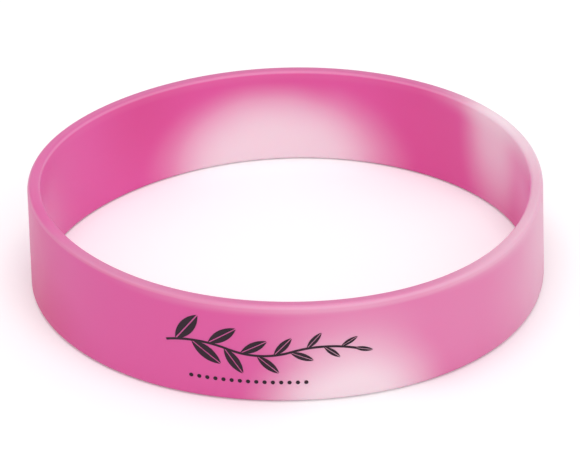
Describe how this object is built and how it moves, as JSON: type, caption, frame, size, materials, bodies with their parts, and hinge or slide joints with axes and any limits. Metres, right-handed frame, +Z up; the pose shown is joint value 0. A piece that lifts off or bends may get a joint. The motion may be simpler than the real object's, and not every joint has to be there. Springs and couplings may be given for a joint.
{
  "type": "mood bracelet",
  "caption": "Plain round colour-change silicone wristband with rounded edges, one moulded loop that is stretched over the hand and worn round the wrist.",
  "frame": {"origin": "centre of the lower rim, on the surface that the band rests on", "axes": "+Z up along the axis of the loop, +X to the viewer's right and +Y away from the viewer of the decorated front"},
  "size_m": [0.0604, 0.0604, 0.012],
  "materials": {
    "silicone": "satin",
    "print_ink": "matte"
  },
  "bodies": {
    "root": {"wristband": "silicone"}
  },
  "joints": []
}
